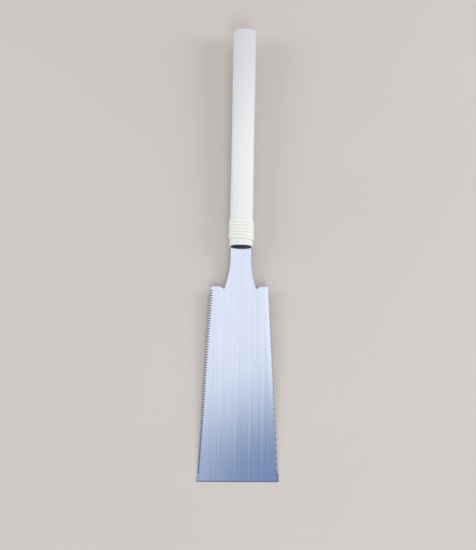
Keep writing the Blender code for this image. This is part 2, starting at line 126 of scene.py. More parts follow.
class Graph:
    """A Principled material and short calls to wire its nodes."""

    def __init__(self, name):
        self.mat = bpy.data.materials.new(name)
        self.mat.use_nodes = True
        self.tree = self.mat.node_tree
        self.surface = self.tree.nodes["Principled BSDF"]

    def node(self, kind, **settings):
        made = self.tree.nodes.new(kind)
        for key, value in settings.items():
            setattr(made, key, value)
        return made

    def feed(self, socket, value):
        if isinstance(value, bpy.types.NodeSocket):
            self.tree.links.new(value, socket)
        else:
            socket.default_value = value

    def set(self, **values):
        for key, value in values.items():
            self.feed(self.surface.inputs[key.replace("_", " ")], value)

    def coords(self, kind="Object"):
        return self.node("ShaderNodeTexCoord").outputs[kind]

    def stretched(self, vector, scale, rotation=(0, 0, 0), location=(0, 0, 0)):
        made = self.node("ShaderNodeMapping")
        self.feed(made.inputs["Vector"], vector)
        made.inputs["Scale"].default_value = scale
        made.inputs["Rotation"].default_value = rotation
        made.inputs["Location"].default_value = location
        return made.outputs[0]

    def noise(self, vector, scale=1.0, detail=2.0, rough=0.5, distortion=0.0):
        made = self.node("ShaderNodeTexNoise")
        self.feed(made.inputs["Vector"], vector)
        made.inputs["Scale"].default_value = scale
        made.inputs["Detail"].default_value = detail
        made.inputs["Roughness"].default_value = rough
        made.inputs["Distortion"].default_value = distortion
        return made.outputs[0]

    def cells(self, vector, scale=1.0):
        made = self.node("ShaderNodeTexVoronoi")
        self.feed(made.inputs["Vector"], vector)
        made.inputs["Scale"].default_value = scale
        return made.outputs["Distance"]

    def math(self, operation, a, b=0.0, clamp=False):
        made = self.node("ShaderNodeMath", operation=operation, use_clamp=clamp)
        self.feed(made.inputs[0], a)
        self.feed(made.inputs[1], b)
        return made.outputs[0]

    def total(self, *terms):
        """Sum of (weight, socket) terms."""
        value = None
        for weight, socket in terms:
            part = self.math("MULTIPLY", socket, weight)
            value = part if value is None else self.math("ADD", value, part)
        return value

    def remap(self, value, low, high, to_low=0.0, to_high=1.0, smooth=False):
        made = self.node("ShaderNodeMapRange", clamp=True)
        if smooth:
            made.interpolation_type = "SMOOTHSTEP"
        self.feed(made.inputs[0], value)
        for index, number in zip((1, 2, 3, 4), (low, high, to_low, to_high)):
            made.inputs[index].default_value = number
        return made.outputs[0]

    def ramp(self, value, *stops):
        made = self.node("ShaderNodeValToRGB")
        self.feed(made.inputs[0], value)
        line = made.color_ramp.elements
        while len(line) < len(stops):
            line.new(0.5)
        for element, (place, colour) in zip(line, stops):
            element.position = place
            element.color = (*colour, 1.0)
        return made.outputs[0]

    def mix(self, factor, a, b, blend="MIX"):
        made = self.node("ShaderNodeMix", data_type="RGBA", blend_type=blend)
        self.feed(made.inputs[0], factor)
        self.feed(made.inputs[6], a if isinstance(a, bpy.types.NodeSocket) else (*a, 1.0))
        self.feed(made.inputs[7], b if isinstance(b, bpy.types.NodeSocket) else (*b, 1.0))
        return made.outputs[2]

    def split(self, vector):
        made = self.node("ShaderNodeSeparateXYZ")
        self.feed(made.inputs[0], vector)
        return made.outputs

    def bump(self, height, strength, distance, before=None):
        made = self.node("ShaderNodeBump")
        made.inputs["Strength"].default_value = strength
        made.inputs["Distance"].default_value = distance
        self.feed(made.inputs["Height"], height)
        if before is not None:
            self.feed(made.inputs["Normal"], before)
        return made.outputs[0]


# ---------------------------------------------------------------- materials

def brushed_plate():
    """Bright sheet steel, brushed from end to end."""
    g = Graph("brushed_plate")
    at = g.coords()
    broad = g.noise(g.stretched(at, (120, 1.3, 1)), detail=1.5)
    middle = g.noise(g.stretched(at, (610, 2.8, 1)), detail=2.0, rough=0.5)
    fine = g.noise(g.stretched(at, (2100, 14, 1)), detail=2.0, rough=0.5)
    streak = g.total((0.16, broad), (0.64, middle), (0.20, fine))
    colour = g.ramp(
        streak,
        (0.32, (0.597, 0.645, 0.721)),
        (0.50, (0.660, 0.703, 0.770)),
        (0.68, (0.723, 0.758, 0.816)),
    )
    # Painted highlight: a lighter band is painted beside the rip teeth, strongest towards the heel.
    x, y, _ = g.split(at)
    slope = (HEEL_RIGHT - TOE_RIGHT) / SHOULDER_Y
    inside = g.math("SUBTRACT", g.math("ADD", g.math("MULTIPLY", y, slope), TOE_RIGHT), x)
    strip = g.math("MULTIPLY", g.remap(inside, 3.6 * MM, 8.0 * MM, 0.55, 0.0, smooth=True), g.remap(y, 60 * MM, 150 * MM, smooth=True))
    colour = g.mix(strip, colour, (0.790, 0.833, 0.895))
    # Painted shade: towards the toe, the tips of these teeth are painted darker than the plate.
    tips = g.math("MULTIPLY", g.remap(inside, 1.2 * MM, 1.9 * MM, 0.6, 0.0, smooth=True), g.remap(y, 65 * MM, 115 * MM, 1.0, 0.0, smooth=True))
    colour = g.mix(tips, colour, (0.25, 0.28, 0.33))
    cloud = g.noise(g.stretched(at, (22, 9, 1)), detail=3.0)
    colour = g.mix(g.remap(cloud, 0.35, 0.75, 0.0, 0.35), colour, g.mix(1.0, colour, (0.93, 0.945, 0.97), "MULTIPLY"))
    # A few fine cross scratches from use.
    scratch = g.noise(g.stretched(at, (70, 1900, 1), rotation=(0, 0, math.radians(21))), detail=1.0)
    scratch = g.remap(scratch, 0.70, 0.76)
    colour = g.mix(g.math("MULTIPLY", scratch, 0.25), colour, (0.80, 0.82, 0.85))
    g.set(Base_Color=colour, Metallic=1.0, Anisotropic=0.6)
    g.set(Roughness=g.remap(streak, 0.34, 0.66, 0.10, 0.145))
    # Each stroke of the brush also tips the surface by a hair along the blade.
    tipped = g.node("ShaderNodeCombineXYZ")
    tipped.inputs[0].default_value = 0.5
    tipped.inputs[2].default_value = 1.0
    g.feed(tipped.inputs[1], g.remap(streak, 0.0, 1.0, 0.496, 0.504))
    tilt = g.node("ShaderNodeNormalMap", uv_map="brush")
    g.feed(tilt.inputs["Color"], tipped.outputs[0])
    g.set(Normal=g.bump(g.total((0.8, middle), (0.2, fine)), 0.15, 0.005 * MM, tilt.outputs[0]))
    tangent = g.node("ShaderNodeTangent", direction_type="UV_MAP", uv_map="brush")
    g.set(Tangent=tangent.outputs[0])
    return g.mat


def ground_facet():
    """Ground tooth facets and bevels, painted dark blue as painted shade and painted dark reflection, with cross
    grinding lines.
    """
    g = Graph("ground_facet")
    at = g.coords()
    lines = g.noise(g.stretched(at, (900, 5200, 5200)), detail=2.0)
    g.set(Base_Color=g.ramp(lines, (0.3, (0.088, 0.100, 0.134)), (0.7, (0.190, 0.212, 0.262))), Metallic=1.0)
    g.set(Roughness=g.remap(lines, 0.3, 0.7, 0.30, 0.46))
    g.set(Normal=g.bump(lines, 0.3, 0.01 * MM))
    return g.mat


def set_tooth():
    """Faces of the rip teeth that are bent away: painted dark at the toe as painted shade, bright towards the heel.
    """
    g = Graph("set_tooth")
    at = g.coords()
    lines = g.noise(g.stretched(at, (5200, 900, 5200)), detail=2.0)
    y = g.split(at)[1]
    dark = g.ramp(lines, (0.3, (0.250, 0.275, 0.325)), (0.7, (0.350, 0.375, 0.425)))
    bright = g.ramp(lines, (0.3, (0.700, 0.745, 0.815)), (0.7, (0.800, 0.835, 0.895)))
    # Painted shade: the mix along the blade paints these faces dark towards the toe.
    g.set(Base_Color=g.mix(g.remap(y, 45 * MM, 135 * MM, smooth=True), dark, bright), Metallic=1.0)
    g.set(Roughness=g.remap(lines, 0.3, 0.7, 0.24, 0.36))
    g.set(Normal=g.bump(lines, 0.3, 0.01 * MM))
    return g.mat


def bare_edge():
    """The sheared edge of the sheet, a little dull."""
    g = Graph("bare_edge")
    at = g.coords()
    grain = g.noise(g.stretched(at, (1500, 1500, 6000)), detail=3.0)
    g.set(Base_Color=g.ramp(grain, (0.3, (0.30, 0.325, 0.37)), (0.7, (0.46, 0.485, 0.53))), Metallic=1.0)
    g.set(Roughness=g.remap(grain, 0.3, 0.7, 0.34, 0.5))
    g.set(Normal=g.bump(grain, 0.3, 0.01 * MM))
    return g.mat


def white_wood(name, ring_x, ring_z):
    """Planed white wood: faint growth rings cut along the grain, fibres, a pin knot."""
    g = Graph(name)
    at = g.coords()
    x, y, z = g.split(at)
    drift = g.noise(g.stretched(at, (10, 2.2, 10)), detail=2.0)
    dx = g.math("SUBTRACT", x, ring_x)
    dz = g.math("SUBTRACT", z, ring_z)
    radius = g.math("SQRT", g.math("ADD", g.math("MULTIPLY", dx, dx), g.math("MULTIPLY", dz, dz)))
    radius = g.math("ADD", radius, g.math("MULTIPLY", drift, 4.5 * MM))
    # The rings bend round one small knot near the binding.
    kx = g.math("SUBTRACT", x, -7.2 * MM)
    ky = g.math("MULTIPLY", g.math("SUBTRACT", y, 350.0 * MM), 0.45)
    reach = g.math("SQRT", g.math("ADD", g.math("MULTIPLY", kx, kx), g.math("MULTIPLY", ky, ky)))
    near = g.remap(reach, 0.0, 4.0 * MM, 1.0, 0.0, smooth=True)
    radius = g.math("ADD", radius, g.math("MULTIPLY", near, 0.8 * MM))
    ring = g.math("FRACT", g.math("MULTIPLY", radius, 1 / (2.3 * MM)))
    colour = g.ramp(
        ring,
        (0.0, (0.806, 0.808, 0.802)),
        (0.55, (0.800, 0.800, 0.792)),
        (0.86, (0.776, 0.771, 0.757)),
        (0.93, (0.782, 0.778, 0.765)),
        (1.0, (0.806, 0.808, 0.802)),
    )
    fibre = g.noise(g.stretched(at, (1300, 14, 1300)), detail=3.0, rough=0.6)
    colour = g.mix(g.remap(fibre, 0.25, 0.75, 0.16, 0.0), colour, (0.730, 0.716, 0.690))
    pores = g.remap(g.noise(g.stretched(at, (2400, 75, 2400)), detail=1.0), 0.70, 0.80)
    colour = g.mix(g.math("MULTIPLY", pores, 0.30), colour, (0.60, 0.565, 0.515))
    band = g.noise(g.stretched(at, (55, 2.5, 55)), detail=2.0)
    colour = g.mix(g.remap(band, 0.35, 0.70, 0.0, 0.35), colour, g.mix(1.0, colour, (0.965, 0.955, 0.94), "MULTIPLY"))
    # Painted shade: the wood is painted darker towards the butt, standing in for the light falling off there.
    painted_butt_shade = g.math("MULTIPLY", g.remap(y, 400 * MM, 595 * MM, smooth=True), g.remap(drift, 0.2, 0.8, 0.8, 1.0))
    colour = g.mix(painted_butt_shade, colour, g.mix(1.0, colour, (0.81, 0.812, 0.812), "MULTIPLY"))
    # End grain drinks in more and looks darker.
    facing = g.math("ABSOLUTE", g.split(g.coords("Normal"))[1])
    end = g.remap(facing, 0.72, 0.97, 0.0, 0.55, smooth=True)
    colour = g.mix(end, colour, g.mix(1.0, colour, (0.86, 0.82, 0.765), "MULTIPLY"))
    front = g.remap(z, 2 * MM, 6 * MM)
    knot = g.math("MULTIPLY", g.remap(reach, 0.3 * MM, 1.5 * MM, 1.0, 0.0, smooth=True), front)
    colour = g.mix(g.math("MULTIPLY", knot, 0.30), colour, (0.55, 0.50, 0.44))
    g.set(Base_Color=colour, Specular_IOR_Level=0.35)
    g.set(Roughness=g.remap(g.total((0.6, fibre), (0.4, band)), 0.3, 0.7, 0.62, 0.50))
    grain = g.bump(g.total((0.75, fibre), (-0.35, pores)), 0.35, 0.03 * MM)
    g.set(Normal=g.bump(ring, 0.06, 0.03 * MM, grain))
    return g.mat


def split_cane():
    """Split cane: silky outer skin with long fibres, with painted shade darkening each strip's sides in the grooves.
    """
    g = Graph("split_cane")
    uv = g.coords("UV")
    u, v, _ = g.split(uv)
    fibre = g.noise(g.stretched(uv, (55, 34, 1)), detail=3.0, rough=0.6)
    slow = g.noise(g.stretched(uv, (9, 2.5, 1)), detail=2.0)
    colour = g.ramp(
        g.total((0.65, fibre), (0.35, slow)),
        (0.28, (0.735, 0.715, 0.630)),
        (0.50, (0.825, 0.815, 0.755)),
        (0.72, (0.865, 0.860, 0.820)),
    )
    # Painted shade: the sides of the strip are painted darker where the turns meet.
    side = g.math("ABSOLUTE", g.math("SUBTRACT", v, 0.5))
    colour = g.mix(g.remap(side, 0.42, 0.50, 0.0, 0.20), colour, (0.70, 0.69, 0.63))
    flecks = g.remap(g.noise(g.stretched(uv, (160, 22, 1)), detail=1.0), 0.72, 0.80)
    colour = g.mix(g.math("MULTIPLY", flecks, 0.25), colour, (0.62, 0.56, 0.44))
    g.set(Base_Color=colour, Specular_IOR_Level=0.35)
    g.set(Roughness=g.remap(fibre, 0.3, 0.7, 0.50, 0.36))
    g.set(Normal=g.bump(fibre, 0.30, 0.03 * MM))
    return g.mat


def dark_moulding():
    """Near black moulded insert with a fine spark-eroded skin."""
    g = Graph("dark_moulding")
    at = g.coords()
    skin = g.noise(at, 5200, detail=3.0)
    cloud = g.noise(at, 260, detail=2.0)
    g.set(
        Base_Color=g.ramp(g.total((0.6, skin), (0.4, cloud)), (0.3, (0.012, 0.010, 0.009)), (0.7, (0.026, 0.022, 0.020))),
        Specular_IOR_Level=0.2,
    )
    g.set(Roughness=g.remap(skin, 0.3, 0.7, 0.50, 0.68))
    g.set(Normal=g.bump(skin, 0.25, 0.02 * MM))
    return g.mat


def plain_steel(name, dark, light, along, rough_low, rough_high):
    """Rolled or turned steel for the holder inside the handle."""
    g = Graph(name)
    at = g.coords()
    grain = g.noise(g.stretched(at, along), detail=3.0, rough=0.6)
    cloud = g.noise(at, 140, detail=3.0)
    g.set(Base_Color=g.ramp(g.total((0.6, grain), (0.4, cloud)), (0.3, dark), (0.7, light)), Metallic=1.0)
    g.set(Roughness=g.remap(grain, 0.3, 0.7, rough_low, rough_high))
    g.set(Normal=g.bump(grain, 0.25, 0.02 * MM))
    return g.mat


PLATE = brushed_plate()
FACET = ground_facet()
BENT = set_tooth()
EDGE = bare_edge()
WOOD_FRONT = white_wood("white_wood_front", 48 * MM, -26 * MM)
WOOD_BACK = white_wood("white_wood_back", -44 * MM, 31 * MM)
CANE = split_cane()
DARK = dark_moulding()


# ---------------------------------------------------------------- mesh helpers

def piece(name, mesh, body, nodes, mats):
    """Puts a mesh made in the saw frame into the scene, on its body."""
    obj = bpy.data.objects.new(name, mesh)
    scene.collection.objects.link(obj)
    for mat in mats:
        obj.data.materials.append(mat)
    obj.matrix_world = SAW
    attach(obj, body)
    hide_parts(*nodes)
    return obj


def arc(cx, cy, radius, start_deg, end_deg, steps):
    return [
        (
            cx + radius * math.cos(math.radians(start_deg + (end_deg - start_deg) * i / steps)),
            cy + radius * math.sin(math.radians(start_deg + (end_deg - start_deg) * i / steps)),
        )
        for i in range(steps + 1)
    ]


def bezier(p0, p1, p2, p3, steps):
    points = []
    for i in range(1, steps + 1):
        t = i / steps
        u = 1 - t
        points.append(
            tuple(
                u**3 * a + 3 * u * u * t * b + 3 * u * t * t * c + t**3 * d
                for a, b, c, d in zip(p0, p1, p2, p3)
            )
        )
    return points


def oval(a, b, t):
    c, s = math.cos(t), math.sin(t)
    return (
        a * math.copysign(abs(c) ** (2 / SECTION_POWER), c),
        b * math.copysign(abs(s) ** (2 / SECTION_POWER), s),
    )


# ---------------------------------------------------------------- blade

def left_edge(y):
    return -(TOE_LEFT + (HEEL_LEFT - TOE_LEFT) * y / SHOULDER_Y)


def right_edge(y):
    return TOE_RIGHT + (HEEL_RIGHT - TOE_RIGHT) * y / SHOULDER_Y


def skewed(point):
    return Vector((point[0], point[1] + PLATE_SKEW * point[0]))


class Rim:
    """The blade's outline, counter-clockwise from the front, as columns of edge points.

    A plain column has a chamfer on both faces. A root column is the bottom of a
    gullet, where the front and the back point may differ. A tooth stands on the span
    between two roots.
    """

    def __init__(self):
        self.columns = []
        self.teeth = {}

    def plain(self, point, front=0.13 * MM, drop=0.10 * MM, back=0.13 * MM, look=2, mitre=None):
        """A chamfered column. Columns round a corner can share one inner point, their mitre."""
        self.columns.append(
            {
                "kind": "plain", "at": Vector(point), "front": front, "drop": drop, "back": back,
                "look": look, "mitre": mitre,
            }
        )

    def root(self, front, back):
        front, back = Vector(front), Vector(back)
        self.columns.append({"kind": "root", "at": (front + back) / 2, "f": front, "b": back})

    def tooth(self, tips, kind):
        """Tips of the tooth between the last root and the next one, each (front point, back point)."""
        self.teeth[len(self.columns) - 1] = (tips, kind)


def shoulder(side):
    edge = HEEL_RIGHT - 0.9 * MM if side > 0 else HEEL_LEFT
    corner = 2.1 * MM if side > 0 else SHOULDER_CORNER
    points = arc(edge - corner, SHOULDER_Y - corner, corner, 0, 90, 9)
    points.append((26.4 * MM, SHOULDER_Y))
    points += bezier(
        (26.4 * MM, SHOULDER_Y), (23.9 * MM, SHOULDER_Y), (22.8 * MM, NOTCH_Y), (NOTCH_X, NOTCH_Y), 9
    )
    points += bezier(
        (NOTCH_X, NOTCH_Y), (19.9 * MM, NOTCH_Y), (19.45 * MM, NOTCH_Y + 0.9 * MM), (19.1 * MM, NOTCH_Y + 2.3 * MM), 6
    )
    return [skewed((side * x, y)) for x, y in points]


def neck_and_tang():
    points = bezier(
        (19.1 * MM, NOTCH_Y + 2.3 * MM),
        (16.2 * MM, NOTCH_Y + 14.3 * MM),
        (NECK_HALF, NECK_STRAIGHT_Y - 13.0 * MM),
        (NECK_HALF, NECK_STRAIGHT_Y),
        18,
    )
    step = MOUTH_Y + NECK_INSIDE
    points += arc(NECK_HALF - 1.0 * MM, step - 1.0 * MM, 1.0 * MM, 0, 90, 4)
    points += arc(TANG_HALF + 1.2 * MM, step + 1.2 * MM, 1.2 * MM, -90, -180, 4)
    end = MOUTH_Y + TANG_END
    points += arc(TANG_HALF - TANG_CORNER, end - TANG_CORNER, TANG_CORNER, 0, 90, 6)
    points.append((FORK_HALF, end))
    points += arc(0, end - FORK_DEPTH + FORK_HALF, FORK_HALF, 0, -90, 8)[:-1]
    return points


def three(point, z):
    return Vector((point[0], point[1], z))


def blade_rim():
    rim = Rim()
    toe_corner = 0.45 * MM
    # The toe has a bevel in the dark facet steel, running round both corners up to the teeth: a painted shadow line
    # along the toe.
    toe = dict(front=1.05 * MM, drop=0.13 * MM, back=0.15 * MM, look=1)
    flank = dict(front=0.60 * MM, drop=0.12 * MM, look=1)
    inner_y = toe["front"]
    right_mitre = skewed((right_edge(inner_y) - flank["front"], inner_y))
    left_mitre = skewed((left_edge(inner_y) + flank["front"], inner_y))

    # Right side, from the toe up.
    for point in arc(TOE_RIGHT - toe_corner, toe_corner, toe_corner, -90, 0, 3)[1:]:
        rim.plain(skewed(point), mitre=right_mitre, **flank)
    rim.plain(skewed((right_edge(5 * MM), 5 * MM)), **flank)
    y = RIP_FIRST_Y
    rim.plain(skewed((right_edge(y - 0.2 * MM), y - 0.2 * MM)), **flank)
    number = 0
    while y < RIP_LAST_Y:
        pitch = RIP_PITCH_TOE - RIP_PITCH_DROP * y
        depth = RIP_DEPTH * pitch
        # The long flank is filed from the front, so its front line lies further in.
        start = skewed((right_edge(y) - depth, y + 0.06 * pitch))
        rim.root(start + Vector((-0.6 * RIP_FILED, 0.5 * RIP_FILED)), start)
        lean = (0.085 * MM + 0.045 * MM * min(1.0, y / (120 * MM))) * (1 if number % 2 else -1)
        tips = []
        for place, short, filed in ((0.835, 0.03 * MM, RIP_FILED), (0.885, 0.0, 0.6 * RIP_FILED)):
            at = skewed((right_edge(y + place * pitch) - short, y + place * pitch))
            inner = at + Vector((-0.80 * filed, 0.12 * filed))
            tips.append((three(inner, HALF_T + lean), three(at, -HALF_T + lean)))
        rim.tooth(tips, "bent_up" if number % 2 else "bent_away")
        y += pitch
        number += 1
        finish = skewed((right_edge(y) - depth, y - 0.04 * pitch))
        rim.root(finish, finish)
    for point in shoulder(1):
        rim.plain(point)

    # Neck, tang and fork.
    half = neck_and_tang()
    for point in half:
        rim.plain(point)
    rim.plain((0.0, MOUTH_Y + TANG_END - FORK_DEPTH))
    for x, y in reversed(half):
        rim.plain((-x, y))

    # Left side, from the heel down.
    for point in reversed(shoulder(-1)):
        rim.plain(point)
    p = CROSS_PITCH
    top = CROSS_FIRST_Y + CROSS_COUNT * p
    rim.plain(skewed((left_edge(top + 0.45 * p), top + 0.45 * p)))

    def depth_at(y):
        return CROSS_DEPTH_TOE + (CROSS_DEPTH_HEEL - CROSS_DEPTH_TOE) * (y / SHOULDER_Y) ** 1.3

    def cross_root(i):
        y = CROSS_FIRST_Y + i * p
        shift = 0.40 * p if i % 2 == 0 else -0.40 * p
        x = left_edge(y) + depth_at(y)
        rim.root(skewed((x, y + shift)), skewed((x, y - shift)))

    cross_root(CROSS_COUNT)
    for i in reversed(range(CROSS_COUNT)):
        y = CROSS_FIRST_Y + i * p
        ground_front = i % 2 == 0
        lean = -0.11 * MM if ground_front else 0.11 * MM
        tips = []
        for place, height in ((0.95, 1.0), (0.52, 0.90)):
            ty = y + place * p
            out = left_edge(ty) + (1 - height) * depth_at(ty)
            sharp = skewed((out, ty))
            blunt = skewed((out + 0.34 * MM, ty - 0.05 * p))
            front, back = (blunt, sharp) if ground_front else (sharp, blunt)
            tips.append((three(front, HALF_T + lean), three(back, -HALF_T + lean)))
        rim.tooth(tips, "ground_front" if ground_front else "ground_back")
        cross_root(i)
    start = CROSS_FIRST_Y - 0.5 * p
    rim.plain(skewed((left_edge(start), start)), **flank)
    rim.plain(skewed((left_edge(4 * MM), 4 * MM)), **flank)

    # Toe, from left to right.
    for point in arc(-TOE_LEFT + toe_corner, toe_corner, toe_corner, 180, 270, 3)[:-1]:
        rim.plain(skewed(point), mitre=left_mitre, **flank)
    mitres = {0: left_mitre, 12: right_mitre}
    for i in range(13):
        x = -TOE_LEFT + toe_corner + (TOE_LEFT + TOE_RIGHT - 2 * toe_corner) * i / 12
        rim.plain(skewed((x, 0.0)), mitre=mitres.get(i), **toe)
    return rim


def moved_in(before, here, after, inset):
    """A corner of a counter-clockwise outline moved to the inside of it."""
    d0, d1 = (here - before).normalized(), (after - here).normalized()
    n0, n1 = Vector((-d0.y, d0.x)), Vector((-d1.y, d1.x))
    n = (n0 + n1).normalized() if (n0 + n1).length > 1e-6 else n1
    return here + n * (inset / max(0.4, n.dot(n1)))


def plate_points(loop, spacing):
    """Inner points for a face: rows that follow the edges, then an even grid."""
    points = []
    rows = round(SHOULDER_Y / spacing)
    for j in range(rows):
        y = (j + 0.5) / rows * (SHOULDER_Y - 5 * MM) + 2.5 * MM
        low, high = left_edge(y) + 5.2 * MM, right_edge(y) - 4.2 * MM
        columns = max(2, round((high - low) / spacing))
        for i in range(columns + 1):
            points.append(skewed((low + (high - low) * i / columns, y)))
    y = SHOULDER_Y + 3 * MM
    while y < MOUTH_Y + TANG_END - FORK_DEPTH - 4 * MM:
        if y < MOUTH_Y + NECK_INSIDE - 3 * MM:
            half = NECK_HALF + 5.0 * MM * max(0.0, 1 - (y - NOTCH_Y) / (34 * MM)) ** 1.6 - 3 * MM
        else:
            half = TANG_HALF - 3 * MM
        for k in (-1, -0.33, 0.33, 1):
            points.append(Vector((k * half, y)))
        y += spacing
    return points


def build_blade():
    rim = blade_rim()
    columns, teeth = rim.columns, rim.teeth
    count = len(columns)
    bm = bmesh.new()
    shared = {}
    for i, col in enumerate(columns):
        if col["kind"] == "root":
            col["F"] = col["f"] = bm.verts.new(three(col["f"], HALF_T))
            col["B"] = col["b"] = bm.verts.new(three(col["b"], -HALF_T))
        else:
            before, after = columns[i - 1]["at"], columns[(i + 1) % count]["at"]
            here = col["at"]
            if col["mitre"] is None:
                col["F"] = bm.verts.new(three(moved_in(before, here, after, col["front"]), HALF_T))
            else:
                key = tuple(col["mitre"])
                if key not in shared:
                    shared[key] = bm.verts.new(three(col["mitre"], HALF_T))
                col["F"] = shared[key]
            col["f"] = bm.verts.new(three(here, HALF_T - col["drop"]))
            col["b"] = bm.verts.new(three(here, -HALF_T + 0.10 * MM))
            col["B"] = bm.verts.new(three(moved_in(before, here, after, col["back"]), -HALF_T))

    def face(verts, index):
        ring = []
        for v in verts:
            if v not in ring:
                ring.append(v)
        made = bm.faces.new(ring)
        made.material_index = index
        return made

    looks = {"ground_front": (1, 0), "ground_back": (0, 1), "bent_away": (3, 0), "bent_up": (0, 3)}
    odd = []
    for i, col in enumerate(columns):
        nxt = columns[(i + 1) % count]
        if i in teeth:
            places, kind = teeth[i]
            tips = [(bm.verts.new(f), bm.verts.new(b)) for f, b in places]
            odd.append(face([col["F"]] + [f for f, _ in tips] + [nxt["F"]], looks[kind][0]))
            odd.append(face([nxt["B"]] + [b for _, b in reversed(tips)] + [col["B"]], looks[kind][1]))
            chain = [(col["F"], col["B"])] + tips + [(nxt["F"], nxt["B"])]
            for (f0, b0), (f1, b1) in zip(chain, chain[1:]):
                odd.append(face([f0, b0, b1, f1], 1))
            continue
        if col["kind"] == "plain" or nxt["kind"] == "plain":
            face([col["F"], col["f"], nxt["f"], nxt["F"]], max(col.get("look", 2), nxt.get("look", 2)))
            face([col["b"], col["B"], nxt["B"], nxt["b"]], 2)
        face([col["f"], col["b"], nxt["b"], nxt["f"]], 2)
    bmesh.ops.triangulate(bm, faces=odd)

    spacing = 6.5 * MM
    inner = plate_points([c["at"] for c in columns], spacing)
    for key, z, flip in (("F", HALF_T, False), ("B", -HALF_T, True)):
        ring = [c[key] for c in columns]
        coords = [v.co.to_2d() for v in ring] + inner
        edges = [(i, (i + 1) % count) for i in range(count)]
        found, _, faces, origin, _, _ = delaunay_2d_cdt(coords, edges, [], 1, 1e-9)
        verts = []
        for place, sources in zip(found, origin):
            boundary = [s for s in sources if s < count]
            verts.append(ring[boundary[0]] if boundary else bm.verts.new(three(place, z)))
        for triangle in faces:
            corners = [verts[k] for k in triangle]
            made = bm.faces.new(corners)
            made.normal_update()
            if (made.normal.z < 0) != flip:
                made.normal_flip()
            made.material_index = 0

    brush = bm.loops.layers.uv.new("brush")
    for made in bm.faces:
        for loop in made.loops:
            loop[brush].uv = (loop.vert.co.x / 0.12 + 0.5, loop.vert.co.y / 0.4)
    mesh = bpy.data.meshes.new("blade_steel_sheet")
    bm.to_mesh(mesh)
    bm.free()
    return mesh


blade = piece("blade_sheet", build_blade(), "blade", ["blade"], [PLATE, FACET, EDGE, BENT])


# ---------------------------------------------------------------- handle halves

def handle_width(y):
    middle = 430 * MM
    if y < middle:
        return HANDLE_HALF_WIDTH + 0.30 * MM * ((middle - y) / (middle - MOUTH_Y)) ** 2
    t = min(1.0, (y - middle) / (140 * MM))
    return HANDLE_HALF_WIDTH + 0.62 * MM * t * t * (3 - 2 * t)


def half_section(y, inset, scale=1.0):
    """Half oval from the right seam over the face to the left seam, with eased seam edges."""
    a = (handle_width(y) - inset) * scale
    b = (HANDLE_HALF_DEPTH * handle_width(y) / HANDLE_HALF_WIDTH - inset) * scale
    steps, first = 56, 0.010
    seam = 0.02 * MM
    points = [(a - 0.10 * MM * scale, seam)]
    for i in range(steps + 1):
        x, z = oval(a, b, first + (math.pi - 2 * first) * i / steps)
        points.append((x, max(z, seam + 0.07 * MM * scale)))
    points.append((-a + 0.10 * MM * scale, seam))
    return points


def half_blank(side):
    stations = []
    for i in range(6, -1, -1):
        phi = math.radians(90 * i / 6)
        stations.append((MOUTH_Y + MOUTH_ROUND * (1 - math.sin(phi)), MOUTH_ROUND * (1 - math.cos(phi))))
    runs = 44
    low, high = MOUTH_Y + MOUTH_ROUND, TOTAL_LENGTH - BUTT_ROUND
    stations += [(low + (high - low) * i / runs, 0.0) for i in range(1, runs)]
    for i in range(0, 9):
        phi = math.radians(90 * i / 8)
        stations.append((high + BUTT_ROUND * math.sin(phi), BUTT_ROUND * (1 - math.cos(phi))))
    bm = bmesh.new()
    rings = []
    for y, inset in stations:
        rings.append([bm.verts.new((x, y, side * z)) for x, z in half_section(y, inset)])
    # The butt face closes in a few rings, very slightly domed.
    for scale in (0.82, 0.6, 0.38, 0.18):
        section = half_section(TOTAL_LENGTH, BUTT_ROUND, scale)
        rings.append([bm.verts.new((x, TOTAL_LENGTH + 0.12 * MM * (1 - scale), side * z)) for x, z in section])
    for one, two in zip(rings, rings[1:]):
        for k in range(len(one)):
            j = (k + 1) % len(one)
            bm.faces.new((one[k], one[j], two[j], two[k]))
    bm.faces.new(rings[0])
    bm.faces.new(rings[-1])
    bmesh.ops.recalc_face_normals(bm, faces=bm.faces)
    return bm


def insert_section(grow):
    a = handle_width(MOUTH_Y) - INSERT_RIM + grow
    b = HANDLE_HALF_DEPTH * handle_width(MOUTH_Y) / HANDLE_HALF_WIDTH - INSERT_RIM + grow
    low = HALF_T + GAP - grow
    points = []
    for i in range(49):
        x, z = oval(a, b, math.pi * i / 48)
        if z > low + 0.4 * MM:
            points.append((x, z))
    foot = a * (1 - (low / b) ** SECTION_POWER) ** (1 / SECTION_POWER)
    return [(foot, low)] + points + [(-foot, low)]


def box(low, high):
    bm = bmesh.new()
    size = [h - l for l, h in zip(low, high)]
    middle = [(h + l) / 2 for l, h in zip(low, high)]
    bmesh.ops.create_cube(bm, size=1, matrix=Matrix.Translation(middle) @ Matrix.Diagonal((*size, 1)))
    return bm


def prism(section, y0, y1):
    """A solid with an (x, z) section between two stations along the saw."""
    bm = bmesh.new()
    ends = [[bm.verts.new((x, y, z)) for x, z in section] for y in (y0, y1)]
    for k in range(len(section)):
        j = (k + 1) % len(section)
        bm.faces.new((ends[0][k], ends[0][j], ends[1][j], ends[1][k]))
    bm.faces.new(ends[0])
    bm.faces.new(ends[1])
    bmesh.ops.recalc_face_normals(bm, faces=bm.faces)
    return bm


def as_object(bm, name):
    mesh = bpy.data.meshes.new(name)
    bm.to_mesh(mesh)
    bm.free()
    obj = bpy.data.objects.new(name, mesh)
    scene.collection.objects.link(obj)
    return obj


